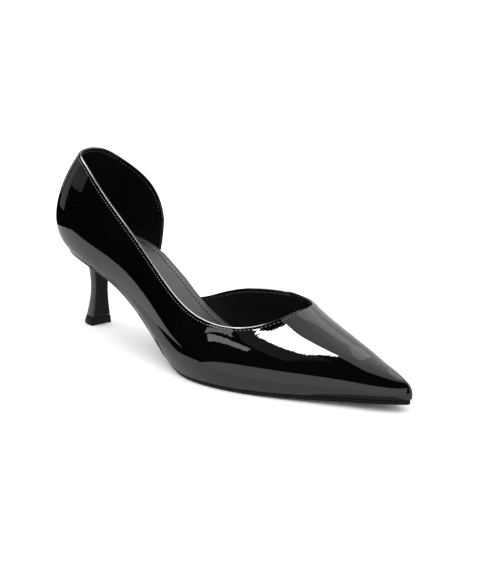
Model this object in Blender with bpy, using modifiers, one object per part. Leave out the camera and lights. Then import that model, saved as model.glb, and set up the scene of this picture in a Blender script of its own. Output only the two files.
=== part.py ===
"""A pointed toe pump for the right foot: upper cut away on the inner side, thin sole, slim flared heel.

Lengths in the tables are millimetres. +X points to the toe, +Y to the inner side, +Z up, floor at z = 0.
"""

from collections import namedtuple

import bmesh
import bpy
import numpy as np

NAME = "pointed_toe_pump"
MM = 0.001

# Driving sizes
WALL = 1.6
GAP = 0.3
SOLE_THICKNESS = 2.2
SOLE_INSET = 0.7
WAIST_INSET = 2.0
WAIST_CENTRE = 82.0
WAIST_REACH = 46.0
INSOLE_THICKNESS = 2.8
HEEL_PAD = 1.8
HEEL_PAD_RUN = 62.0
HEEL_PAD_FADE = 40.0
INSOLE_CLEARANCE = 0.45
INSOLE_LIP = 0.4
INSOLE_STEP = 4.0
BREAST_X = 44.0
SEAT_INSET = 0.9
SEAT_RIM = 1.8
TIP_HEIGHT = 4.6

# Faces of each piece
PANEL_ROWS = 10
LATERAL_COLUMNS = 46
COUNTER_COLUMNS = 14
WING_COLUMNS = 26
VAMP_COLUMNS = 17
SOLE_STATIONS = 44
HEEL_POINTS = 29
FLARE_RINGS = 7
FINE = 600
MIRRORED_ROWS = 3

# The last, a row for each section from the back to the toe tip.
# x, lateral, medial and edge place the sole's edge on both sides; top_x and top_z place the crest line.
# belly and rise swell the wall outwards and upwards from the edge, shoulder rounds it into the crest.
Section = namedtuple("Section", "x lateral medial edge top_x top_z belly rise shoulder")
LAST = (
    Section(5.5, 0.0, 0.0, 48.4, 50, 122, 24, 20, 23.5),
    Section(8.5, 10.4, 10.4, 48.1, 50, 122, 24, 20, 22),
    Section(18.0, 19.2, 18.9, 47.0, 51, 122, 22, 20, 18.5),
    Section(32.0, 23.6, 23.2, 44.5, 54, 121, 15, 21, 17.5),
    Section(52.0, 25.0, 23.2, 39.1, 62, 117, 8.5, 22, 17),
    Section(78.0, 25.4, 19.6, 27.4, 80, 106, 6, 21, 18.5),
    Section(104.0, 30.0, 19.4, 13.0, 104, 89, 6, 20, 20),
    Section(128.0, 37.0, 26.4, 3.7, 128, 72.2, 5.8, 18.5, 20.2),
    Section(150.0, 40.2, 33.2, 2.5, 149, 56.4, 5, 18.5, 20.5),
    Section(172.0, 37.0, 31.8, 2.5, 170, 44, 4, 16, 18.5),
    Section(200.0, 26.8, 24.0, 3.6, 197, 31.2, 2.8, 13.2, 13.5),
    Section(228.0, 14.3, 13.0, 5.3, 224, 21.2, 2, 9.8, 8),
    Section(244.0, 6.4, 6.2, 6.2, 239, 16.9, 1.3, 6.5, 4.4),
    Section(250.0, 0.0, 0.0, 6.5, 245, 14.8, 0.9, 4.8, 3.8),
)
ODD_COLUMNS = ("lateral", "medial")

# The top edge of the upper. run is the way along the sole's edge from the back,
# share the part of the section's wall, from sole edge to crest, that is kept there.
TopEdge = namedtuple("TopEdge", "run share")
THROAT_RUN = 194.7
LATERAL_EDGE = (
    TopEdge(0, 0.595),
    TopEdge(18, 0.582),
    TopEdge(38, 0.545),
    TopEdge(61, 0.463),
    TopEdge(85, 0.415),
    TopEdge(110, 0.408),
    TopEdge(137, 0.411),
    TopEdge(157.5, 0.42),
    TopEdge(173.5, 0.477),
    TopEdge(185.5, 0.6),
    TopEdge(191.5, 0.745),
    TopEdge(194, 0.885),
    TopEdge(THROAT_RUN, 1.0),
)
COUNTER_EDGE = (
    TopEdge(0, 0.595),
    TopEdge(12, 0.578),
    TopEdge(25, 0.523),
    TopEdge(41, 0.453),
    TopEdge(50.5, 0.394),
    TopEdge(55.2, 0.325),
    TopEdge(56.4, 0.26),
)
WING_EDGE = (
    TopEdge(94.5, 0.035),
    TopEdge(109.5, 0.2),
    TopEdge(131, 0.364),
    TopEdge(149.5, 0.453),
    TopEdge(166.5, 0.54),
    TopEdge(182.5, 0.69),
    TopEdge(190.8, 0.836),
    TopEdge(THROAT_RUN, 1.0),
)
EDGE_WEIGHT = 60.0

# Where the panels stand on the sole's edge, as runs
THROAT_FOOT = 200.0
COUNTER_FOOT = 53.0
WING_FOOT = 92.5

# The heel below its flare: a flat breast at front, half an ellipse behind it
HeelSection = namedtuple("HeelSection", "z front back half_width")
HEEL = (
    HeelSection(33.0, 23.8, 13.6, 5.2),
    HeelSection(29.0, 23.8, 14.0, 4.6),
    HeelSection(24.0, 23.7, 14.4, 4.3),
    HeelSection(18.0, 23.4, 14.2, 4.4),
    HeelSection(12.0, 23.1, 13.0, 5.0),
    HeelSection(TIP_HEIGHT + GAP, 22.8, 10.9, 6.0),
)
HEEL_TIP = (
    HeelSection(TIP_HEIGHT, 22.8, 10.7, 6.1),
    HeelSection(1.6, 22.5, 9.6, 6.7),
    HeelSection(0.0, 22.4, 9.3, 6.9),
)

# Edge profiles, from bottom to top: how far in from the outline, and how far up
EdgePoint = namedtuple("EdgePoint", "inward up")
SOLE_EDGE = (
    EdgePoint(0.9, 0.0),
    EdgePoint(0.25, 0.18),
    EdgePoint(0.0, 0.5),
    EdgePoint(0.1, 0.82),
    EdgePoint(0.5, 1.0),
)
INSOLE_EDGE = (
    EdgePoint(0.0, 0.0),
    EdgePoint(0.0, 0.55),
    EdgePoint(0.3, 0.85),
    EdgePoint(1.0, 1.0),
)

# colour, roughness
FINISHES = {
    "upper": ((0.012, 0.012, 0.014), 0.08),
    "outsole": ((0.02, 0.02, 0.021), 0.42),
    "insole": ((0.11, 0.11, 0.115), 0.5),
    "heel": ((0.012, 0.012, 0.014), 0.1),
    "heel_tip": ((0.018, 0.018, 0.018), 0.6),
}
SMOOTH_ANGLE = 0.6


def chord_lengths(points):
    """The way travelled along a row of points, from 0 at the first."""
    steps = np.linalg.norm(np.diff(points, axis=0), axis=1)
    return np.concatenate([[0.0], np.cumsum(steps)])


def smooth_curve(knots, values):
    """The natural cubic spline through rows of values, as a function of the knot."""
    span = np.diff(knots)
    count = len(knots)
    matrix = np.eye(count)
    pull = np.zeros_like(values)
    slope = np.diff(values, axis=0) / span[:, None]
    for i in range(1, count - 1):
        matrix[i, i - 1 : i + 2] = span[i - 1], 2 * (span[i - 1] + span[i]), span[i]
        pull[i] = 6 * (slope[i] - slope[i - 1])
    bend = np.linalg.solve(matrix, pull)

    def at(place):
        place = np.asarray(place, float)
        i = np.clip(np.searchsorted(knots, place) - 1, 0, count - 2)
        width = span[i][..., None]
        after = (place - knots[i])[..., None]
        before = width - after
        curved = (bend[i] * before**3 + bend[i + 1] * after**3) / (6 * width)
        left = (values[i] / width - bend[i] * width / 6) * before
        right = (values[i + 1] / width - bend[i + 1] * width / 6) * after
        return curved + left + right

    return at


def last_sections():
    """The section row as a function of run, and the run of the toe tip.

    Rows mirrored past both ends make the outline cross the axis squarely at the back and at the toe.
    """
    rows = np.array(LAST, float)
    flip = np.array([-1.0 if column in ODD_COLUMNS else 1.0 for column in Section._fields])
    before = rows[MIRRORED_ROWS:0:-1] * flip
    after = rows[-2 : -2 - MIRRORED_ROWS : -1] * flip
    rows = np.concatenate([before, rows, after])
    half_width = (rows[:, 1] + rows[:, 2]) / 2
    runs = chord_lengths(np.stack([rows[:, 0], half_width], axis=1))
    runs -= runs[MIRRORED_ROWS]
    return smooth_curve(runs, rows), runs[-1 - MIRRORED_ROWS]


SECTION_AT, TOE_RUN = last_sections()


def section_at(run):
    return Section(*np.moveaxis(SECTION_AT(run), -1, 0))


def run_at(x):
    """The run at which the sole's edge reaches x."""
    runs = np.linspace(0, TOE_RUN, FINE)
    return np.interp(x, section_at(runs).x, runs)


def foot_and_out(run, side):
    """The point on the sole's edge, and the level direction that points out of the shoe there."""
    section = section_at(run)
    half_width = section.lateral if side < 0 else section.medial
    foot = np.stack([section.x, side * half_width, section.edge], axis=-1)
    out = np.stack([section.x - section.top_x, side * half_width, 0 * section.x], axis=-1)
    return foot, out / np.linalg.norm(out, axis=-1, keepdims=True)


def last_point(run, side, share):
    """A point of the last's surface: share 0 is the sole's edge and share 1 the crest."""
    section = section_at(run)
    foot, out = foot_and_out(run, side)
    up = np.array([0.0, 0.0, 1.0])
    crest = np.stack([section.top_x, 0 * section.x, section.top_z], axis=-1)
    swell = foot + out * section.belly[..., None] + up * section.rise[..., None]
    shoulder = crest + out * section.shoulder[..., None]
    t = np.asarray(share, float)[..., None]
    lower = (1 - t) ** 3 * foot + 3 * (1 - t) ** 2 * t * swell
    return lower + 3 * (1 - t) * t**2 * shoulder + t**3 * crest


def edge_places(table, side, columns):
    """Places (run, share) spaced evenly along a top edge."""
    rows = np.array(table, float)
    travel = chord_lengths(rows * (1, EDGE_WEIGHT))
    edge = smooth_curve(travel, rows)
    fine = np.linspace(0, travel[-1], FINE)
    places = edge(fine)
    length = chord_lengths(last_point(places[:, 0], side, places[:, 1]))
    return edge(np.interp(np.linspace(0, length[-1], columns + 1), length, fine))


def new_piece(name, mesh):
    """Puts a finished bmesh into the shoe as a named object with its own material."""
    bmesh.ops.scale(mesh, vec=(MM, MM, MM), verts=mesh.verts)
    data = bpy.data.meshes.new(name)
    mesh.to_mesh(data)
    mesh.free()
    data.shade_smooth()
    data.set_sharp_from_angle(angle=SMOOTH_ANGLE)
    colour, roughness = FINISHES[name]
    material = bpy.data.materials.new(name)
    material.use_nodes = True
    shader = material.node_tree.nodes["Principled BSDF"]
    shader.inputs["Base Color"].default_value = (*colour, 1.0)
    shader.inputs["Roughness"].default_value = roughness
    shader.inputs["Metallic"].default_value = 0.0
    data.materials.append(material)
    piece = bpy.data.objects.new(name, data)
    bpy.data.collections[NAME].objects.link(piece)
    return piece


def add_panel(mesh, side, feet, tops):
    """Adds a grid on the last's surface, a column from each foot run up to its place on the top edge."""
    columns = len(feet) - 1
    grid = bmesh.ops.create_grid(mesh, x_segments=columns, y_segments=PANEL_ROWS, size=0.5)
    for vert in grid["verts"]:
        column = round((vert.co.x + 0.5) * columns)
        height = vert.co.y + 0.5
        run = feet[column] + (tops[column][0] - feet[column]) * height
        vert.co = last_point(run, side, tops[column][1] * height)
    if side > 0:
        faces = {face for vert in grid["verts"] for face in vert.link_faces}
        bmesh.ops.reverse_faces(mesh, faces=list(faces))


def make_upper():
    """The hollow upper: four panels and the vamp welded into one open surface, thickened inwards."""
    mesh = bmesh.new()
    lateral_feet = np.linspace(0, THROAT_FOOT, LATERAL_COLUMNS + 1)
    counter_feet = np.linspace(0, COUNTER_FOOT, COUNTER_COLUMNS + 1)
    wing_feet = np.linspace(WING_FOOT, THROAT_FOOT, WING_COLUMNS + 1)
    vamp_feet = np.linspace(THROAT_FOOT, TOE_RUN, VAMP_COLUMNS + 1)
    crest_runs = np.linspace(THROAT_RUN, TOE_RUN, VAMP_COLUMNS + 1)
    crest = np.stack([crest_runs, np.ones(VAMP_COLUMNS + 1)], axis=1)
    add_panel(mesh, -1, lateral_feet, edge_places(LATERAL_EDGE, -1, LATERAL_COLUMNS))
    add_panel(mesh, 1, counter_feet, edge_places(COUNTER_EDGE, 1, COUNTER_COLUMNS))
    add_panel(mesh, 1, wing_feet, edge_places(WING_EDGE, 1, WING_COLUMNS))
    for side in (-1, 1):
        add_panel(mesh, side, vamp_feet, crest)
    bmesh.ops.remove_doubles(mesh, verts=mesh.verts, dist=MM)
    upper = new_piece("upper", mesh)
    shell = upper.modifiers.new("wall", "SOLIDIFY")
    shell.thickness = WALL * MM
    shell.offset = -1
    shell.use_even_offset = True


def loft(name, rings):
    """A closed body through rings of points, each ring running up one side and down the other."""
    mesh = bmesh.new()
    rows = [[mesh.verts.new(point) for point in ring] for ring in rings]
    count = len(rows[0])
    for row, after in zip(rows, rows[1:]):
        for i in range(count):
            j = (i + 1) % count
            mesh.faces.new((row[i], row[j], after[j], after[i]))
    for row in (rows[0], rows[-1]):
        for i in range((count - 1) // 2):
            corners = dict.fromkeys((row[i], row[i + 1], row[-2 - i], row[-1 - i]))
            mesh.faces.new(corners)
    bmesh.ops.recalc_face_normals(mesh, faces=mesh.faces)
    return new_piece(name, mesh)


def slab_ring(run, profile, insets, bottom, top):
    """A section of a flat piece on the last's bottom: up the lateral edge and down the medial one."""
    sides = []
    for side, inset in zip((-1, 1), insets):
        foot, out = foot_and_out(run, side)
        points = [foot - out * (inset + point.inward) for point in profile]
        for place, point in zip(points, profile):
            place[2] = bottom + (top - bottom) * point.up
        sides.append(points)
    return sides[0] + sides[1][::-1]


def make_outsole():
    rings = []
    for run in np.linspace(run_at(BREAST_X + GAP), TOE_RUN - SOLE_INSET, SOLE_STATIONS):
        section = section_at(run)
        waist = np.exp(-(((section.x - WAIST_CENTRE) / WAIST_REACH) ** 2))
        inset = SOLE_INSET + (WAIST_INSET - SOLE_INSET) * waist
        top = section.edge - GAP
        bottom = max(top - SOLE_THICKNESS, 0.0)
        rings.append(slab_ring(run, SOLE_EDGE, (inset, inset), bottom, top))
    loft("outsole", rings)


def ease(value):
    value = np.clip(value, 0, 1)
    return value * value * (3 - 2 * value)


def make_insole():
    """The sock fills the upper's inside, and reaches the outline in the opening between its two feet."""
    rings = []
    for run in np.linspace(WALL, TOE_RUN - WALL, SOLE_STATIONS):
        section = section_at(run)
        wall = WALL * np.hypot(section.belly, section.rise) / section.rise
        inside = wall + INSOLE_CLEARANCE
        after_counter = ease((run - COUNTER_FOOT - WALL) / INSOLE_STEP)
        before_wing = ease((WING_FOOT - WALL - run) / INSOLE_STEP)
        medial = inside + (INSOLE_LIP - inside) * after_counter * before_wing
        pad = HEEL_PAD * ease((HEEL_PAD_RUN + HEEL_PAD_FADE - run) / HEEL_PAD_FADE)
        top = section.edge + INSOLE_THICKNESS + pad
        rings.append(slab_ring(run, INSOLE_EDGE, (inside, medial), section.edge, top))
    loft("insole", rings)


def heel_ring(section):
    """Half an ellipse round the back of the heel, closed by the breast."""
    turns = np.linspace(-np.pi / 2, np.pi / 2, HEEL_POINTS)
    x = section.front - (section.front - section.back) * np.cos(turns)
    return np.stack([x, section.half_width * np.sin(turns), np.full(HEEL_POINTS, section.z)], axis=1)


def seat_ring(drop):
    """The outline of the heel seat under the upper, lowered by drop."""
    points = []
    for way in np.linspace(-1, 1, HEEL_POINTS):
        foot, out = foot_and_out(abs(way) * run_at(BREAST_X), 1 if way > 0 else -1)
        point = foot - out * SEAT_INSET
        point[0] = min(point[0], BREAST_X)
        point[2] -= GAP + drop
        points.append(point)
    return np.array(points)


def make_heel():
    """A thin seat that sweeps in to the neck, and flares out again above the tip."""
    rim = seat_ring(SEAT_RIM)
    neck = heel_ring(HEEL[0])
    rings = [seat_ring(0.0), rim]
    for turn in np.linspace(0, np.pi / 2, FLARE_RINGS + 1)[1:]:
        sweep = np.array([np.sin(turn), np.sin(turn), 1 - np.cos(turn)])
        rings.append(rim + (neck - rim) * sweep)
    rings += [heel_ring(section) for section in HEEL[1:]]
    loft("heel", rings)
    loft("heel_tip", [heel_ring(section) for section in HEEL_TIP])


def centre_on_origin():
    """Hangs the pieces on an empty, so that the middle of the shoe's footprint is the origin."""
    pieces = list(bpy.data.collections[NAME].objects)
    bpy.context.view_layer.update()
    corners = np.array([corner for piece in pieces for corner in piece.bound_box])
    middle = (corners.min(axis=0) + corners.max(axis=0)) / 2
    root = bpy.data.objects.new("shoe", None)
    bpy.data.collections[NAME].objects.link(root)
    root.location = (-middle[0], -middle[1], 0.0)
    for piece in pieces:
        piece.parent = root


def main():
    for old in list(bpy.data.objects):
        bpy.data.objects.remove(old, do_unlink=True)
    shoe = bpy.data.collections.new(NAME)
    bpy.context.scene.collection.children.link(shoe)
    make_upper()
    make_outsole()
    make_insole()
    make_heel()
    centre_on_origin()


main()
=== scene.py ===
import math

import bmesh
import bpy
import numpy as np
from mathutils import Matrix, Vector
from mathutils.bvhtree import BVHTree
from mathutils.kdtree import KDTree


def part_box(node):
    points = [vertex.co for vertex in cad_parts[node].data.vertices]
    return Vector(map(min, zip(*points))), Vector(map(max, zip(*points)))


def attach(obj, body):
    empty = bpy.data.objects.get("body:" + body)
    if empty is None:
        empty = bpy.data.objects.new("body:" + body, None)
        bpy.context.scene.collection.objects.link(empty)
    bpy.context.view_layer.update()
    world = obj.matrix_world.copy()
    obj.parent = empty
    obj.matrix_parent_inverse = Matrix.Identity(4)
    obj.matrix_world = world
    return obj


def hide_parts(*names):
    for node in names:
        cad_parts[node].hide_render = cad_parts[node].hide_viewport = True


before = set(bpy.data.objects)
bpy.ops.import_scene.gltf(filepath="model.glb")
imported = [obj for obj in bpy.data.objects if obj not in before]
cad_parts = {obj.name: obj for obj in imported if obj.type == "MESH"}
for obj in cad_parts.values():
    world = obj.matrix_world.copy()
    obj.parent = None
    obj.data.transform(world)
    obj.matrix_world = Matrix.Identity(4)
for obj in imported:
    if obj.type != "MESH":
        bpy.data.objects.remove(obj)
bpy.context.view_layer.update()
mm = 0.001
up = np.array([0.0, 0.0, 1.0])

# The last's own sizes are in millimetres from the back of the counter; the heel tip in the frame places it
heelBreast = 22.8
tipLow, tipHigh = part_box("heel_tip")
lastOrigin = np.array([tipHigh.x - heelBreast * mm, (tipLow.y + tipHigh.y) / 2, 0.0])
print("frame loaded, last placed at", lastOrigin.round(5))


def toRow(points):
    return np.asarray(points, float) * mm + lastOrigin


# The last: a row for each section from the back to the toe tip, as in the solids
sectionColumns = ("x", "lateral", "medial", "edge", "topX", "topZ", "belly", "rise", "shoulder")
lastRows = np.array([
    (5.5, 0.0, 0.0, 48.4, 50, 122, 24, 20, 23.5),
    (8.5, 10.4, 10.4, 48.1, 50, 122, 24, 20, 22),
    (18.0, 19.2, 18.9, 47.0, 51, 122, 22, 20, 18.5),
    (32.0, 23.6, 23.2, 44.5, 54, 121, 15, 21, 17.5),
    (52.0, 25.0, 23.2, 39.1, 62, 117, 8.5, 22, 17),
    (78.0, 25.4, 19.6, 27.4, 80, 106, 6, 21, 18.5),
    (104.0, 30.0, 19.4, 13.0, 104, 89, 6, 20, 20),
    (128.0, 37.0, 26.4, 3.7, 128, 72.2, 5.8, 18.5, 20.2),
    (150.0, 40.2, 33.2, 2.5, 149, 56.4, 5, 18.5, 20.5),
    (172.0, 37.0, 31.8, 2.5, 170, 44, 4, 16, 18.5),
    (200.0, 26.8, 24.0, 3.6, 197, 31.2, 2.8, 13.2, 13.5),
    (228.0, 14.3, 13.0, 5.3, 224, 21.2, 2, 9.8, 8),
    (244.0, 6.4, 6.2, 6.2, 239, 16.9, 1.3, 6.5, 4.4),
    (250.0, 0.0, 0.0, 6.5, 245, 14.8, 0.9, 4.8, 3.8),
])
mirroredRows = 3
runSteps = 600


def wayAlong(points):
    steps = np.linalg.norm(np.diff(points, axis=0), axis=1)
    return np.concatenate([[0.0], np.cumsum(steps)])


def smoothCurve(knots, values):  # natural cubic spline through rows of values
    span = np.diff(knots)
    count = len(knots)
    matrix = np.eye(count)
    pull = np.zeros_like(values)
    slope = np.diff(values, axis=0) / span[:, None]
    for i in range(1, count - 1):
        matrix[i, i - 1:i + 2] = span[i - 1], 2 * (span[i - 1] + span[i]), span[i]
        pull[i] = 6 * (slope[i] - slope[i - 1])
    bend = np.linalg.solve(matrix, pull)

    def at(place):
        place = np.asarray(place, float)
        i = np.clip(np.searchsorted(knots, place) - 1, 0, count - 2)
        width = span[i][..., None]
        after = (place - knots[i])[..., None]
        before = width - after
        curved = (bend[i] * before**3 + bend[i + 1] * after**3) / (6 * width)
        left = (values[i] / width - bend[i] * width / 6) * before
        right = (values[i + 1] / width - bend[i + 1] * width / 6) * after
        return curved + left + right

    return at


def lastCurve():
    flip = np.array([-1.0 if column in ("lateral", "medial") else 1.0 for column in sectionColumns])
    before = lastRows[mirroredRows:0:-1] * flip
    after = lastRows[-2:-2 - mirroredRows:-1] * flip
    rows = np.concatenate([before, lastRows, after])
    halfWidth = (rows[:, 1] + rows[:, 2]) / 2
    runs = wayAlong(np.stack([rows[:, 0], halfWidth], axis=1))
    runs -= runs[mirroredRows]
    return smoothCurve(runs, rows), runs[-1 - mirroredRows]


rowAt, toeRun = lastCurve()


def sectionAt(run):
    return dict(zip(sectionColumns, np.moveaxis(rowAt(run), -1, 0)))


def runAt(x):
    runs = np.linspace(0, toeRun, runSteps)
    return np.interp(x, sectionAt(runs)["x"], runs)


def footAndOut(run, side):  # the sole's edge, and the level way out of the shoe there
    s = sectionAt(run)
    halfWidth = s["lateral"] if side < 0 else s["medial"]
    foot = np.stack([s["x"], side * halfWidth, s["edge"]], axis=-1)
    out = np.stack([s["x"] - s["topX"], side * halfWidth, 0 * s["x"]], axis=-1)
    return foot, out / np.linalg.norm(out, axis=-1, keepdims=True)


def ease(value):
    value = np.clip(value, 0, 1)
    return value * value * (3 - 2 * value)


vamp = {"squareFrom": 165.0, "squareBlend": 30.0, "noseWidth": 3.0}
toePuff = {"x": 214.0, "before": 34.0, "after": 17.5, "height": 0.8, "share": 0.35, "width": 0.32,
           "crestDrop": 0.36}
waistSwell = {"run": 102.0, "reach": 42.0, "share": 0.1, "above": 0.32, "height": 1.0}


def hump(value, below, above):  # 1 at zero, and smoothly 0 at both reaches
    return np.clip(1 - np.where(value < 0, value / below, value / above) ** 2, 0, None) ** 2


def lastPoint(run, side, share):  # share 0 is the sole's edge and share 1 the crest
    s = sectionAt(run)
    foot, out = footAndOut(run, side)
    crest = np.stack([s["topX"], 0 * s["x"], s["topZ"]], axis=-1)
    swell = foot + out * s["belly"][..., None] + up * s["rise"][..., None]
    halfWidth = np.abs(foot[..., 1])
    level = np.array([1.0, 1.0, 0.0]) * np.ones_like(out)  # over the vamp the crest is crossed square
    square = ease((s["x"] - vamp["squareFrom"]) / vamp["squareBlend"])
    level[..., 0] = 1 - square * (1 - 1 / (1 + (halfWidth / vamp["noseWidth"]) ** 2))
    shoulder = crest + out * level * s["shoulder"][..., None]
    t = np.asarray(share, float)[..., None]
    lower = (1 - t) ** 3 * foot + 3 * (1 - t) ** 2 * t * swell
    point = lower + 3 * (1 - t) * t**2 * shoulder + t**3 * crest
    puff = hump(point[..., 0] - toePuff["x"], toePuff["before"], toePuff["after"])
    over = t[..., 0] - toePuff["share"]
    toCrest = (over - toePuff["width"]) / (1 - toePuff["share"] - toePuff["width"])
    crestDrop = toePuff["crestDrop"] * ease(toCrest)
    point[..., 2] += toePuff["height"] * puff * ease(over / toePuff["width"]) * (1 - crestDrop)
    if side < 0:
        along = hump(np.asarray(run, float) - waistSwell["run"], waistSwell["reach"], waistSwell["reach"])
        over = hump(t[..., 0] - waistSwell["share"], waistSwell["share"], waistSwell["above"])
        point += out * (waistSwell["height"] * along * over)[..., None]
    return point


# Materials

def newMaterial(name, colour, roughness):
    material = bpy.data.materials.new(name)
    material.use_nodes = True
    shader = material.node_tree.nodes["Principled BSDF"]
    shader.inputs["Base Color"].default_value = (*colour, 1.0)
    shader.inputs["Roughness"].default_value = roughness
    return material, material.node_tree, shader


def addNode(tree, kind, inputs=None, **settings):
    node = tree.nodes.new(kind)
    for key, value in settings.items():
        setattr(node, key, value)
    for key, value in (inputs or {}).items():
        node.inputs[key].default_value = value
    return node


def noiseHeight(tree, scale, detail, roughness=0.5):
    where = addNode(tree, "ShaderNodeTexCoord")
    noise = addNode(tree, "ShaderNodeTexNoise", {"Scale": scale, "Detail": detail, "Roughness": roughness})
    tree.links.new(where.outputs["Object"], noise.inputs["Vector"])
    return noise.outputs["Fac"]


def pebbleHeight(tree, scale):  # rounded cells of a leather grain
    where = addNode(tree, "ShaderNodeTexCoord")
    cells = addNode(tree, "ShaderNodeTexVoronoi", {"Scale": scale}, feature="SMOOTH_F1")
    tree.links.new(where.outputs["Object"], cells.inputs["Vector"])
    return cells.outputs["Distance"]


def addBump(tree, heights, target):
    last = None
    for height, strength, distance in heights:
        bump = addNode(tree, "ShaderNodeBump", {"Strength": strength, "Distance": distance})
        tree.links.new(height, bump.inputs["Height"])
        if last is not None:
            tree.links.new(last, bump.inputs["Normal"])
        last = bump.outputs["Normal"]
    tree.links.new(last, target)
    return last


driftStops = (0.3, 0.7)


def vary(tree, factor, low, high, target):  # a colour or value that drifts between two
    ramp = addNode(tree, "ShaderNodeValToRGB")
    for stop, position, colour in zip(ramp.color_ramp.elements, driftStops, (low, high)):
        stop.position = position
        stop.color = (*colour, 1.0)
    tree.links.new(factor, ramp.inputs["Fac"])
    tree.links.new(ramp.outputs["Color"], target)


def grey(value):
    return (value, value, value)


patent = {"low": (0.0008, 0.0008, 0.001), "high": (0.0014, 0.0014, 0.0017), "roughness": 0.16,
          "cloudScale": 35.0, "cloudDetail": 3.0, "coatRoughness": 0.018, "coatIor": 1.7,
          "peelScale": 650.0, "peelDetail": 2.0, "peelStrength": 0.28, "peelDepth": 0.00003,
          "upperCoat": 1.0, "heelCoat": 0.75}


def patentLeather(name, coat):
    material, tree, shader = newMaterial(name, patent["low"], patent["roughness"])
    cloud = noiseHeight(tree, patent["cloudScale"], patent["cloudDetail"])
    vary(tree, cloud, patent["low"], patent["high"], shader.inputs["Base Color"])
    shader.inputs["Specular IOR Level"].default_value = 0.0
    shader.inputs["Coat Weight"].default_value = coat
    shader.inputs["Coat Roughness"].default_value = patent["coatRoughness"]
    shader.inputs["Coat IOR"].default_value = patent["coatIor"]
    peel = noiseHeight(tree, patent["peelScale"], patent["peelDetail"])
    heights = [(peel, patent["peelStrength"], patent["peelDepth"])]
    normal = addBump(tree, heights, shader.inputs["Coat Normal"])
    tree.links.new(normal, shader.inputs["Normal"])
    return material


grain = {"cloudScale": 55.0, "cloudDetail": 5.0, "cloudRoughness": 0.6, "pebbleStrength": 0.5,
         "wearScale": 130.0, "wearDetail": 3.0, "wornSmooth": 0.06, "wornRough": 0.08,
         "waveScale": 90.0, "waveDetail": 3.0, "waveStrength": 0.25, "waveDepth": 2.0}
mattes = {  # darkest and lightest grey, roughness, pebbles a metre, their depth and the specular level
    "liningLeather": (0.002, 0.004, 0.5, 1500.0, 0.00006, 0.3),
    "sockLeather": (0.05, 0.068, 0.5, 1100.0, 0.00008, 0.3),
    "threadBlack": (0.05, 0.09, 0.38, 3500.0, 0.00005, 0.5),
    "threadGrey": (0.004, 0.008, 0.6, 3500.0, 0.00005, 0.1),
    "soleResin": (0.003, 0.005, 0.42, 900.0, 0.00004, 0.2),
    "tipRubber": (0.003, 0.005, 0.5, 1800.0, 0.00006, 0.12),
}
# painted shade on the insole: darker towards the forefoot, in the vamp's shadow
sockPaintedShade = {"reach": (-0.06, 0.02), "shades": (1.0, 0.5)}


def matteLeather(name):
    dark, light, roughness, pebbles, depth, specular = mattes[name]
    low, high = grey(dark), grey(light)
    material, tree, shader = newMaterial(name, low, roughness)
    shader.inputs["Specular IOR Level"].default_value = specular
    cloud = noiseHeight(tree, grain["cloudScale"], grain["cloudDetail"], grain["cloudRoughness"])
    vary(tree, cloud, low, high, shader.inputs["Base Color"])
    worn = grey(roughness - grain["wornSmooth"]), grey(roughness + grain["wornRough"])
    vary(tree, noiseHeight(tree, grain["wearScale"], grain["wearDetail"]), *worn, shader.inputs["Roughness"])
    wave = noiseHeight(tree, grain["waveScale"], grain["waveDetail"])
    heights = [(pebbleHeight(tree, pebbles), grain["pebbleStrength"], depth),
               (wave, grain["waveStrength"], depth * grain["waveDepth"])]
    addBump(tree, heights, shader.inputs["Normal"])
    return material


def paintShadeAlong(material, reach, shades):  # painted shade: the colour grows darker towards the forefoot, where the vamp shades the insole
    tree = material.node_tree
    target = tree.nodes["Principled BSDF"].inputs["Base Color"]
    where = addNode(tree, "ShaderNodeTexCoord")
    apart = addNode(tree, "ShaderNodeSeparateXYZ")
    tree.links.new(where.outputs["Object"], apart.inputs["Vector"])
    shade = addNode(tree, "ShaderNodeMapRange", {"From Min": reach[0], "From Max": reach[1],
                                                 "To Min": shades[0], "To Max": shades[1]})
    tree.links.new(apart.outputs["X"], shade.inputs["Value"])
    darker = addNode(tree, "ShaderNodeVectorMath", operation="SCALE")
    tree.links.new(target.links[0].from_socket, darker.inputs["Vector"])
    tree.links.new(shade.outputs["Result"], darker.inputs["Scale"])
    tree.links.new(darker.outputs["Vector"], target)


patentUpper = patentLeather("patentUpper", patent["upperCoat"])
patentHeel = patentLeather("patentHeel", patent["heelCoat"])
liningLeather = matteLeather("liningLeather")
sockLeather = matteLeather("sockLeather")
# the insole gets painted shade towards the forefoot
paintShadeAlong(sockLeather, sockPaintedShade["reach"], sockPaintedShade["shades"])
threadBlack = matteLeather("threadBlack")
threadGrey = matteLeather("threadGrey")
soleResin = matteLeather("soleResin")
tipRubber = matteLeather("tipRubber")
print("materials made")


# Pieces

def finishPiece(name, bm, materials, node=None, sharp=None):
    mesh = bpy.data.meshes.new(name)
    bm.to_mesh(mesh)
    bm.free()
    mesh.shade_smooth()
    if sharp is not None:
        mesh.set_sharp_from_angle(angle=sharp)
    for material in materials:
        mesh.materials.append(material)
    piece = bpy.data.objects.new(name, mesh)
    bpy.context.scene.collection.objects.link(piece)
    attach(piece, "root")
    if node:
        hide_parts(node)
    return piece


def shapeGrid(bm, columns, rows, place):  # a grid whose corners go where place(column, row) says
    grid = bmesh.ops.create_grid(bm, x_segments=columns, y_segments=rows, size=0.5)
    corners = np.array([vert.co[:2] for vert in grid["verts"]])
    points = place(np.rint((corners[:, 0] + 0.5) * columns).astype(int),
                   np.rint((corners[:, 1] + 0.5) * rows).astype(int))
    for vert, point in zip(grid["verts"], points):
        vert.co = point
    return grid["verts"]


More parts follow.
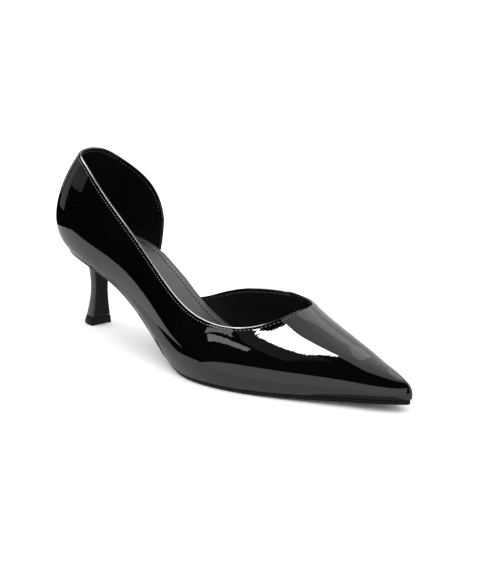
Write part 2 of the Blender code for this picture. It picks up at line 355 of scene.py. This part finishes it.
# The top edge of the upper: run along the sole's edge, and the share of the wall that is kept there
throatRun = 194.7
upper = {
    "lateralEdge": [(0, 0.595), (18, 0.582), (38, 0.545), (61, 0.463), (85, 0.415), (110, 0.408),
                    (137, 0.411), (157.5, 0.42), (173.5, 0.477), (185.5, 0.6), (191.5, 0.745), (194, 0.885),
                    (throatRun, 1)],
    "counterEdge": [(0, 0.595), (12, 0.578), (25, 0.523), (41, 0.453), (50.5, 0.394), (55.2, 0.325),
                    (56.4, 0.26)],
    "wingEdge": [(94.5, 0.035), (109.5, 0.2), (131, 0.364), (149.5, 0.453), (166.5, 0.54), (182.5, 0.69),
                 (190.8, 0.836), (throatRun, 1)],
    "edgeWeight": 60.0, "throatFoot": 200.0, "counterFoot": 53.0, "wingFoot": 92.5, "wall": 1.6,
    "rows": 60, "lateralColumns": 190, "counterColumns": 62, "wingColumns": 104, "vampColumns": 66,
    "edgeSteps": 1500, "columnSteps": 160, "merge": 0.005,
    "rimRow": 0.85, "rimShare": 0.2, "stitchRow": 0.3, "rowGrowth": 2.2,
    "rimRound": 0.72, "rimSegments": 4, "rimReach": 0.3, "foldStep": 0.25, "foldDepth": 2.3, "foldSkin": 2,
    "foldFlare": 0.14, "flareWidth": 4.8, "flareStart": 158.0, "flareBlend": 10.0,
    "stitchDrop": 2.0, "stitchTrough": 0.01, "troughWidth": 0.4,
}


def edgePlaces(table, side, columns):  # places (run, share) spaced evenly along a top edge
    rows = np.array(table, float)
    travel = wayAlong(rows * (1, upper["edgeWeight"]))
    edge = smoothCurve(travel, rows)
    fine = np.linspace(0, travel[-1], upper["edgeSteps"])
    places = edge(fine)
    length = wayAlong(lastPoint(places[:, 0], side, places[:, 1]))
    return edge(np.interp(np.linspace(0, length[-1], columns + 1), length, fine))


def columnHeights(side, foot, top):  # room for the rim at the top, then rows that crowd along the stitches
    fine = np.linspace(1, 0, upper["columnSteps"])
    length = wayAlong(lastPoint(foot + (top[0] - foot) * fine, side, top[1] * fine))
    rimRow = min(upper["rimRow"], upper["rimShare"] * length[-1])
    spread = np.linspace(0, 1, upper["rows"])
    even = min(1.0, upper["stitchRow"] * (upper["rows"] - 1) / (length[-1] - rimRow))
    way = rimRow + (length[-1] - rimRow) * (even * spread + (1 - even) * spread ** upper["rowGrowth"])
    return np.interp(np.concatenate([[0.0], way]), length, fine)[::-1]


def addPanel(bm, side, feet, tops):
    heights = np.array([columnHeights(side, foot, top) for foot, top in zip(feet, tops)])

    def place(column, row):
        height = heights[column, row]
        run = feet[column] + (tops[column, 0] - feet[column]) * height
        return toRow(lastPoint(run, side, tops[column, 1] * height))

    verts = shapeGrid(bm, len(feet) - 1, upper["rows"], place)
    if side > 0:
        faces = {face for vert in verts for face in vert.link_faces}
        bmesh.ops.reverse_faces(bm, faces=list(faces))


topEdgeSteps = {"wing": 900, "lateral": 1500, "counter": 700}


def pointsEvery(step, points, start=0.0):
    way = wayAlong(points)
    marks = np.arange(start, way[-1], step)
    return np.stack([np.interp(marks, way, points[:, i]) for i in range(3)], axis=1)


def topEdgePoints(step):  # the whole top edge: wing, throat, lateral side, back and counter, every step mm
    wing = edgePlaces(upper["wingEdge"], 1, topEdgeSteps["wing"])
    lateral = edgePlaces(upper["lateralEdge"], -1, topEdgeSteps["lateral"])[::-1]
    counter = edgePlaces(upper["counterEdge"], 1, topEdgeSteps["counter"])
    parts = [lastPoint(wing[:, 0], 1, wing[:, 1]), lastPoint(lateral[:, 0], -1, lateral[:, 1])[1:],
             lastPoint(counter[:, 0], 1, counter[:, 1])[1:]]
    return pointsEvery(step, np.concatenate(parts))


def makeUpper():
    bm = bmesh.new()
    lateralFeet = np.linspace(0, upper["throatFoot"], upper["lateralColumns"] + 1)
    counterFeet = np.linspace(0, upper["counterFoot"], upper["counterColumns"] + 1)
    wingFeet = np.linspace(upper["wingFoot"], upper["throatFoot"], upper["wingColumns"] + 1)
    vampFeet = np.linspace(upper["throatFoot"], toeRun, upper["vampColumns"] + 1)
    crestRuns = np.linspace(throatRun, toeRun, upper["vampColumns"] + 1)
    crest = np.stack([crestRuns, np.ones_like(crestRuns)], axis=1)
    addPanel(bm, -1, lateralFeet, edgePlaces(upper["lateralEdge"], -1, upper["lateralColumns"]))
    addPanel(bm, 1, counterFeet, edgePlaces(upper["counterEdge"], 1, upper["counterColumns"]))
    addPanel(bm, 1, wingFeet, edgePlaces(upper["wingEdge"], 1, upper["wingColumns"]))
    for side in (-1, 1):
        addPanel(bm, side, vampFeet, crest)
    bmesh.ops.remove_doubles(bm, verts=bm.verts, dist=upper["merge"] * mm)
    bm.normal_update()
    surface = BVHTree.FromBMesh(bm)  # the plain leather, before its edge is folded and sewn
    foldEdge(bm)
    skins = [patentUpper, liningLeather, patentUpper, patentUpper]  # the fold is patent on both faces
    piece = finishPiece("upper_leather", bm, skins, "upper")
    wall = piece.modifiers.new("wall", "SOLIDIFY")
    wall.thickness = upper["wall"] * mm
    wall.offset = -1
    wall.use_even_offset = True
    wall.material_offset = 1
    wall.material_offset_rim = 0
    rim = piece.modifiers.new("foldedEdge", "BEVEL")
    rim.width = upper["rimRound"] * mm
    rim.segments = upper["rimSegments"]
    rim.profile = 0.5
    rim.limit_method = "WEIGHT"
    rim.use_clamp_overlap = False
    return surface


def edgeFlare(x, away):  # the throat's edge stands out a little
    part = ease((x - upper["flareStart"]) / upper["flareBlend"])
    return upper["foldFlare"] * part * max(0.0, 1 - away / upper["flareWidth"]) ** 2


def foldEdge(bm):  # the leather is turned in at the top edge, and a row of stitches pulls it down
    points = toRow(topEdgePoints(upper["foldStep"]))
    tree = KDTree(len(points))
    for i, point in enumerate(points):
        tree.insert(point, i)
    tree.balance()
    bevelWeight = bm.edges.layers.float.new("bevel_weight_edge")
    for edge in bm.edges:
        if edge.is_boundary:
            top = all(tree.find(vert.co)[2] < upper["rimReach"] * mm for vert in edge.verts)
            edge[bevelWeight] = 1.0 if top else 0.0
            edge.smooth = top
    for face in bm.faces:
        if tree.find(face.calc_center_median())[2] < upper["foldDepth"] * mm:
            face.material_index = upper["foldSkin"]
    for vert in bm.verts:
        away = tree.find(vert.co)[2] / mm
        flare = edgeFlare((vert.co.x - lastOrigin[0]) / mm, away)
        fromStitches = (away - upper["stitchDrop"]) / upper["troughWidth"]
        trough = upper["stitchTrough"] * math.exp(-(fromStitches ** 2))
        vert.co += vert.normal * (flare - trough) * mm


leatherSurface = makeUpper()
print("upper made")


# Stitches
stitch = {"pitch": 2.0, "length": 1.25, "width": 0.45, "height": 0.4, "proud": 0.02, "bareEnds": 2}
threadShape = {"segments": 8, "rings": 5}


def addStitch(bm, place, along, normal, sizes):
    across = normal.cross(along).normalized()
    along = across.cross(normal).normalized()
    turn = Matrix((along, across, normal)).transposed().to_4x4()
    size = Matrix.Diagonal((sizes["length"] * mm / 2, sizes["width"] * mm / 2, sizes["height"] * mm / 2, 1.0))
    bmesh.ops.create_uvsphere(bm, u_segments=threadShape["segments"], v_segments=threadShape["rings"],
                              radius=1.0, matrix=Matrix.Translation(place) @ turn @ size)


def makeTopStitches():  # each thread shows on the leather and on the lining
    bm = bmesh.new()
    edge = topEdgePoints(stitch["pitch"])
    ways = np.gradient(edge, axis=0)
    sewn = slice(stitch["bareEnds"], -stitch["bareEnds"])
    for point, way in zip(toRow(edge)[sewn], ways[sewn]):
        point, along = Vector(point), Vector(way).normalized()
        inward = along.cross(leatherSurface.find_nearest(point)[1]).normalized()
        offset = inward * (upper["stitchDrop"] * mm)
        place, normal = leatherSurface.find_nearest(point + offset)[:2]
        other, otherNormal = leatherSurface.find_nearest(point - offset)[:2]
        if (place - point).length < (other - point).length:  # the leather is on the edge's other side
            place, normal = other, otherNormal
        flare = edgeFlare((point.x - lastOrigin[0]) / mm, upper["stitchDrop"])
        drop = upper["stitchTrough"] - flare - stitch["proud"]
        addStitch(bm, place - normal * drop * mm, along, normal, stitch)
        addStitch(bm, place - normal * (upper["wall"] + drop) * mm, along, -normal, stitch)
    finishPiece("topline_stitches", bm, [threadBlack])


makeTopStitches()
print("topline stitches made")


# Sole and insole lie on the last's bottom
loftMerge = 0.002


def ringLoft(bm, rings):  # a closed tube through rings, its ends filled
    rings = np.asarray(rings)
    count = rings.shape[1]
    shapeGrid(bm, len(rings) - 1, count, lambda column, row: toRow(rings[column, row % count]))
    bmesh.ops.remove_doubles(bm, verts=bm.verts, dist=loftMerge * mm)
    ends = [edge for edge in bm.edges if edge.is_boundary]
    bmesh.ops.holes_fill(bm, edges=ends, sides=0)
    bmesh.ops.recalc_face_normals(bm, faces=bm.faces)


outsole = {
    "gap": 0.3, "thickness": 2.2, "inset": 0.7, "waistInset": 2.0, "waistCentre": 82.0, "waistReach": 46.0,
    "breast": 44.0, "squareEnd": 8.0, "stations": 170, "across": 14, "sharp": 50.0,
    "edge": [(2.6, 0.0), (0.9, 0.0), (0.5, 0.05), (0.22, 0.17), (0.06, 0.34), (0.0, 0.52), (0.05, 0.7),
             (0.16, 0.85), (0.4, 0.95), (0.7, 1.0), (2.6, 1.0)],
    "edgeRoom": 3.0, "leastRoom": 0.1,
}


def edgeSide(run, side, profile, inset, bottom, top):
    foot, out = footAndOut(run, side)
    points = np.array([foot - out * (inset + inward) for inward, _ in profile])
    points[:, 2] = [bottom + (top - bottom) * rise for _, rise in profile]
    return points


def spanRing(lateral, medial, across):  # up the lateral edge, over, down the medial edge and back below
    share = np.linspace(0, 1, across + 1)[1:-1, None]
    over = lateral[-1] + (medial[-1] - lateral[-1]) * share
    below = medial[0] + (lateral[0] - medial[0]) * share
    return np.concatenate([lateral, over, medial[::-1], below])


def makeOutsole():
    rings = []
    start = runAt(outsole["breast"] + outsole["gap"])
    for run in np.linspace(start, toeRun - outsole["inset"], outsole["stations"]):
        s = sectionAt(run)
        waist = np.exp(-(((s["x"] - outsole["waistCentre"]) / outsole["waistReach"]) ** 2))
        inset = outsole["inset"] + (outsole["waistInset"] - outsole["inset"]) * waist
        top = s["edge"] - outsole["gap"]
        bottom = max(top - outsole["thickness"], 0.0)
        room = max(min(s["lateral"], s["medial"]) - inset, outsole["leastRoom"])
        narrow = min(1.0, room / outsole["edgeRoom"])  # the edge's profile narrows with the toe
        profile = [(inward * narrow, rise) for inward, rise in outsole["edge"]]
        sides = [edgeSide(run, side, profile, inset, bottom, top) for side in (-1, 1)]
        ring = spanRing(*sides, outsole["across"])
        square = ease(1 - (s["x"] - outsole["breast"]) / outsole["squareEnd"])  # flat against the heel
        ring[:, 0] += (s["x"] - ring[:, 0]) * square
        rings.append(ring)
    bm = bmesh.new()
    ringLoft(bm, rings)
    finishPiece("sole", bm, [soleResin], "outsole", math.radians(outsole["sharp"]))


makeOutsole()
print("outsole made")

insole = {
    "thickness": 2.8, "pad": 1.8, "padRun": 75.0, "padFade": 50.0, "clearance": 0.45,
    "lip": 1.0, "step": 5.0, "wingStep": 12.0, "wingGap": 0.3,
    "waistTrim": 1.3, "waistRun": 70.0, "waistReach": 24.0,
    "stations": 260, "across": 70, "sharp": 60.0,
    "rim": 4.6, "groove": 0.5, "grooveWidth": 0.5, "crown": 0.35, "crownBlend": 6.0,
    "fullRims": 4.0, "fullFrom": 0.5, "stitchFrom": 0.6,
    "edge": [(0.3, 0.0), (0.0, 0.12), (0.0, 0.5), (0.06, 0.68), (0.22, 0.83), (0.5, 0.94), (1.0, 1.0)],
    "edgeRoom": 2.0, "leastRoom": 0.05,
}
sockStitch = {"pitch": 2.4, "length": 1.4, "width": 0.75, "height": 0.5, "start": 1.0, "sunk": 0.25}


def insoleSides(run):
    s = sectionAt(run)
    wall = upper["wall"] * np.hypot(s["belly"], s["rise"]) / s["rise"]
    inside = wall + insole["clearance"]
    afterCounter = ease((run - upper["counterFoot"] - upper["wall"]) / insole["step"])
    beforeWing = ease((upper["wingFoot"] - insole["wingGap"] - run) / insole["wingStep"])
    medial = inside + (insole["lip"] - inside) * afterCounter * beforeWing
    waist = hump(run - insole["waistRun"], insole["waistReach"], insole["waistReach"])
    medial += insole["waistTrim"] * waist
    pad = insole["pad"] * ease((insole["padRun"] + insole["padFade"] - run) / insole["padFade"])
    return inside, medial, s["edge"], s["edge"] + insole["thickness"] + pad


def makeInsole():
    rings, seams = [], []
    for run in np.linspace(upper["wall"], toeRun - upper["wall"], insole["stations"]):
        inside, medial, bottom, top = insoleSides(run)
        s = sectionAt(run)
        room = max(min(s["lateral"] - inside, s["medial"] - medial), insole["leastRoom"])
        narrow = min(1.0, room / insole["edgeRoom"])
        profile = [(inward * narrow, rise) for inward, rise in insole["edge"]]
        lateralSide = edgeSide(run, -1, profile, inside, bottom, top)
        medialSide = edgeSide(run, 1, profile, medial, bottom, top)
        ring = spanRing(lateralSide, medialSide, insole["across"])
        over = slice(len(profile), len(profile) + insole["across"] - 1)
        width = np.linalg.norm(medialSide[-1] - lateralSide[-1])
        fromLateral = np.linalg.norm(ring[over] - lateralSide[-1], axis=1)
        near = np.minimum(fromLateral, width - fromLateral)
        seam = insole["rim"] - profile[-1][0]
        full = ease(width / (insole["fullRims"] * insole["rim"]) - insole["fullFrom"])  # no seam in the tips
        groove = insole["groove"] * np.exp(-(((near - seam) / insole["grooveWidth"]) ** 2))
        crown = insole["crown"] * ease((near - seam) / insole["crownBlend"])
        ring[over, 2] += (crown - groove) * full
        rings.append(ring)
        if full > insole["stitchFrom"]:
            for base, other in ((lateralSide[-1], medialSide[-1]), (medialSide[-1], lateralSide[-1])):
                seams.append(base + (other - base) * seam / width)
    bm = bmesh.new()
    ringLoft(bm, rings)
    finishPiece("insole_sock", bm, [sockLeather], "insole", math.radians(insole["sharp"]))
    return np.array(seams[0::2]), np.array(seams[1::2])


def makeSockStitches(lines):
    bm = bmesh.new()
    for line in lines:
        points = pointsEvery(sockStitch["pitch"], line, sockStitch["start"])
        for point, way in zip(points, np.gradient(points, axis=0)):
            place = point - up * sockStitch["height"] * sockStitch["sunk"]
            along = Vector(way).normalized()
            normal = (Vector(up) - along * along.z).normalized()
            addStitch(bm, Vector(toRow(place)), along, normal, sockStitch)
    finishPiece("sock_stitches", bm, [threadGrey])


makeSockStitches(makeInsole())
print("insole made")


# Heel and tip
heel = {  # rows hold height, front, back and half width
    "rows": [(33.0, 23.8, 13.6, 5.2), (29.0, 23.8, 14.0, 4.6), (24.0, 23.7, 14.4, 4.3),
             (18.0, 23.4, 14.2, 4.4), (12.0, 23.1, 13.0, 5.0), (4.9, 22.8, 10.9, 6.0)],
    "tipRows": [(4.6, 22.8, 10.7, 6.1), (1.6, 22.5, 9.6, 6.7), (0.0, 22.4, 9.3, 6.9)],
    "points": 73, "breastPoints": 16, "flareRings": 30, "shaftRings": 40, "tipRings": 8,
    "seatInset": 0.9, "seatRim": 1.8, "sharp": 60.0,
    "edgeRound": 0.35, "tipRound": 0.25, "roundSegments": 3, "roundFrom": 40.0,
}


def withBreast(ring):  # the flat front between the ring's two ends
    share = np.linspace(0, 1, heel["breastPoints"] + 1)[1:-1, None]
    return np.concatenate([ring, ring[-1] + (ring[0] - ring[-1]) * share])


def heelRing(z, front, back, halfWidth):
    turns = np.linspace(-math.pi / 2, math.pi / 2, heel["points"])
    x = front - (front - back) * np.cos(turns)
    return np.stack([x, halfWidth * np.sin(turns), np.full(heel["points"], z)], axis=1)


def seatRing(drop):
    points = []
    for way in np.linspace(-1, 1, heel["points"]):
        foot, out = footAndOut(abs(way) * runAt(outsole["breast"]), 1 if way > 0 else -1)
        point = foot - out * heel["seatInset"]
        point[0] = min(point[0], outsole["breast"])
        point[2] -= outsole["gap"] + drop
        points.append(point)
    return np.array(points)


def sectionsBetween(rows, count):
    rows = np.array(rows)
    at = smoothCurve(-rows[:, 0], rows)
    return [at(-z) for z in np.linspace(rows[0, 0], rows[-1, 0], count)]


def roundEdges(piece, width):
    bevel = piece.modifiers.new("edges", "BEVEL")
    bevel.width = width * mm
    bevel.segments = heel["roundSegments"]
    bevel.profile = 0.5
    bevel.limit_method = "ANGLE"
    bevel.angle_limit = math.radians(heel["roundFrom"])


def makeHeel():
    sharp = math.radians(heel["sharp"])
    rim = seatRing(heel["seatRim"])
    neck = heelRing(*heel["rows"][0])
    rings = [seatRing(0.0), seatRing(heel["seatRim"] / 2), rim]
    for turn in np.linspace(0, math.pi / 2, heel["flareRings"] + 1)[1:]:
        sweep = np.array([math.sin(turn), math.sin(turn), 1 - math.cos(turn)])
        rings.append(rim + (neck - rim) * sweep)
    rings += [heelRing(*row) for row in sectionsBetween(heel["rows"], heel["shaftRings"])[1:]]
    bm = bmesh.new()
    ringLoft(bm, [withBreast(ring) for ring in rings])
    cover = finishPiece("heel_cover", bm, [patentHeel], "heel", sharp)
    roundEdges(cover, heel["edgeRound"])
    bm = bmesh.new()
    ringLoft(bm, [withBreast(heelRing(*row)) for row in sectionsBetween(heel["tipRows"], heel["tipRings"])])
    tip = finishPiece("heel_top_piece", bm, [tipRubber], "heel_tip", sharp)
    roundEdges(tip, heel["tipRound"])


makeHeel()
print("heel made")

# Floor, light and camera; places are in the last's millimetres, like the pieces
floorSheet = {"half": 6000, "z": -0.05, "colour": grey(0.95), "roughness": 0.9}
studio = {"ambient": 1.8}
cards = {  # corners, and how bright the card is; only the glossy pieces mirror them
    "heelTable": ([(-270, -205, -0.03), (-150, -205, -0.03), (-13, -75, -0.03), (-270, -75, -0.03)], 0.85),
    "backTable": ([(-270, -75, -0.03), (35, -75, -0.03), (35, 800, -0.03), (-270, 800, -0.03)], 0.85),
    # painted shadow: a dimmer patch of floor by the heel and waist, seen only in reflections
    "waistShadeTable": ([(-13, -75, -0.02), (75, -75, -0.02), (75, -12, -0.02), (-13, -12, -0.02)], 0.6),
    "toeTable": ([(0, -205, -0.03), (700, -205, -0.03), (700, -30, -0.03), (75, -30, -0.03)], 0.7),
    "farTable": ([(258, -30, -0.03), (700, -30, -0.03), (700, 500, -0.03), (258, 500, -0.03)], 0.7),
    "archShade": ([(35, -30, -0.03), (258, -30, -0.03), (258, 500, -0.03), (35, 500, -0.03)], 0.22),
    "backWall": ([(-1500, 800, 0), (2500, 800, 0), (2500, 800, 2000), (-1500, 800, 2000)], 0.8),
    "sideWall": ([(-8000, 800, 0), (-1500, 800, 0), (-1500, 800, 2000), (-8000, 800, 2000)], 0.3),
    "backPanel": ([(-150, 790, 500), (900, 790, 500), (900, 790, 2000), (-150, 790, 2000)], 1.35),
    "roofPanel": ([(-400, -110, 2000), (600, -110, 2000), (600, 800, 2000), (-400, 800, 2000)], 0.7),
    "rimLight": ([(-900, -400, 1026), (25, -450, 1026), (-60, 260, 1026), (-900, 700, 1026)], 14.0),
    "frontCard": ([(22, -205, 0), (700, -205, 0), (700, -205, 386), (22, -205, 1)], 0.85),
    "windowTip": ([(66, -626, 1026), (60, -650, 1026), (110, -548, 1026), (88, -504, 1026)], 30.0),
    "windowPane": ([(88, -504, 1026), (110, -548, 1026), (102, -354, 1026), (44, -294, 1026)], 30.0),
    "windowHead": ([(44, -294, 1026), (102, -354, 1026), (86, -26, 1026), (12, -70, 1026)], 30.0),
    "windowGlow": ([(-60, -1000, 1030), (140, -1000, 1030), (140, -450, 1030), (-60, -450, 1030)], 0.12),
    "upperStreak": ([(-545, -1000, 575), (-125, -1000, 945), (-125, -1000, 1100), (-505, -1000, 700)], 1.6),
    "lowerStreak": ([(-440, -1000, 490), (0, -1000, 795), (10, -1000, 930), (-480, -1000, 600)], 2.0),
    "counterGlow": ([(-1100, -900, 290), (-1250, -500, 290), (-1250, -500, 480), (-1100, -900, 480)], 0.2),
    "backGlow": ([(-1300, -490, 20), (-1300, -10, 20), (-1300, -10, 520), (-1300, -490, 520)], 0.28),
}


def makeSheet(name, corners, material):
    bm = bmesh.new()
    places = toRow([corners[0], corners[1], corners[3], corners[2]])
    shapeGrid(bm, 1, 1, lambda column, row: places[column + 2 * row])
    mesh = bpy.data.meshes.new(name)
    bm.to_mesh(mesh)
    bm.free()
    mesh.materials.append(material)
    sheet = bpy.data.objects.new(name, mesh)
    bpy.context.scene.collection.objects.link(sheet)
    return sheet


def makeFloor():
    material, _, shader = newMaterial("floorPaper", floorSheet["colour"], floorSheet["roughness"])
    shader.inputs["Specular IOR Level"].default_value = 0.0
    half, z = floorSheet["half"], floorSheet["z"]
    corners = [(-half, -half, z), (half, -half, z), (half, half, z), (-half, half, z)]
    sheet = makeSheet("floor", corners, material)
    sheet.visible_glossy = False


def makeCards():
    for name, (corners, brightness) in cards.items():
        material = bpy.data.materials.new(name)
        material.use_nodes = True
        tree = material.node_tree
        glow = addNode(tree, "ShaderNodeEmission", {"Color": (1.0, 1.0, 1.0, 1.0), "Strength": brightness})
        tree.links.new(glow.outputs["Emission"], tree.nodes["Material Output"].inputs["Surface"])
        card = makeSheet(name, corners, material)
        card.visible_camera = False
        card.visible_diffuse = False
        card.visible_shadow = False


def makeWorld():
    world = bpy.data.worlds.new("studio")
    world.use_nodes = True
    bpy.context.scene.world = world
    back = world.node_tree.nodes["Background"]
    back.inputs["Color"].default_value = (1.0, 1.0, 1.0, 1.0)
    back.inputs["Strength"].default_value = studio["ambient"]
    world.cycles_visibility.glossy = False


cameraSizes = {"azimuth": 46.5, "elevation": 13.0, "distance": 0.690, "aim": (137.5, 0.0, 37.2),
               "focalPixels": 1360.0, "frameHeight": 587.0, "sensor": 36.0, "clipStart": 0.01}


def makeCamera():
    a = math.radians(cameraSizes["azimuth"])
    e = math.radians(cameraSizes["elevation"])
    away = Vector((math.sin(a) * math.cos(e), -math.cos(a) * math.cos(e), math.sin(e)))
    data = bpy.data.cameras.new("camera")
    data.sensor_width = cameraSizes["sensor"]
    data.lens = cameraSizes["focalPixels"] / cameraSizes["frameHeight"] * cameraSizes["sensor"]
    data.clip_start = cameraSizes["clipStart"]
    camera = bpy.data.objects.new("camera", data)
    camera.location = Vector(toRow(cameraSizes["aim"])) + away * cameraSizes["distance"]
    camera.rotation_euler = (-away).to_track_quat("-Z", "Y").to_euler()
    bpy.context.scene.collection.objects.link(camera)
    bpy.context.scene.camera = camera


makeFloor()
makeCards()
makeWorld()
makeCamera()
bpy.context.scene.view_settings.view_transform = "Standard"
print("stage set")
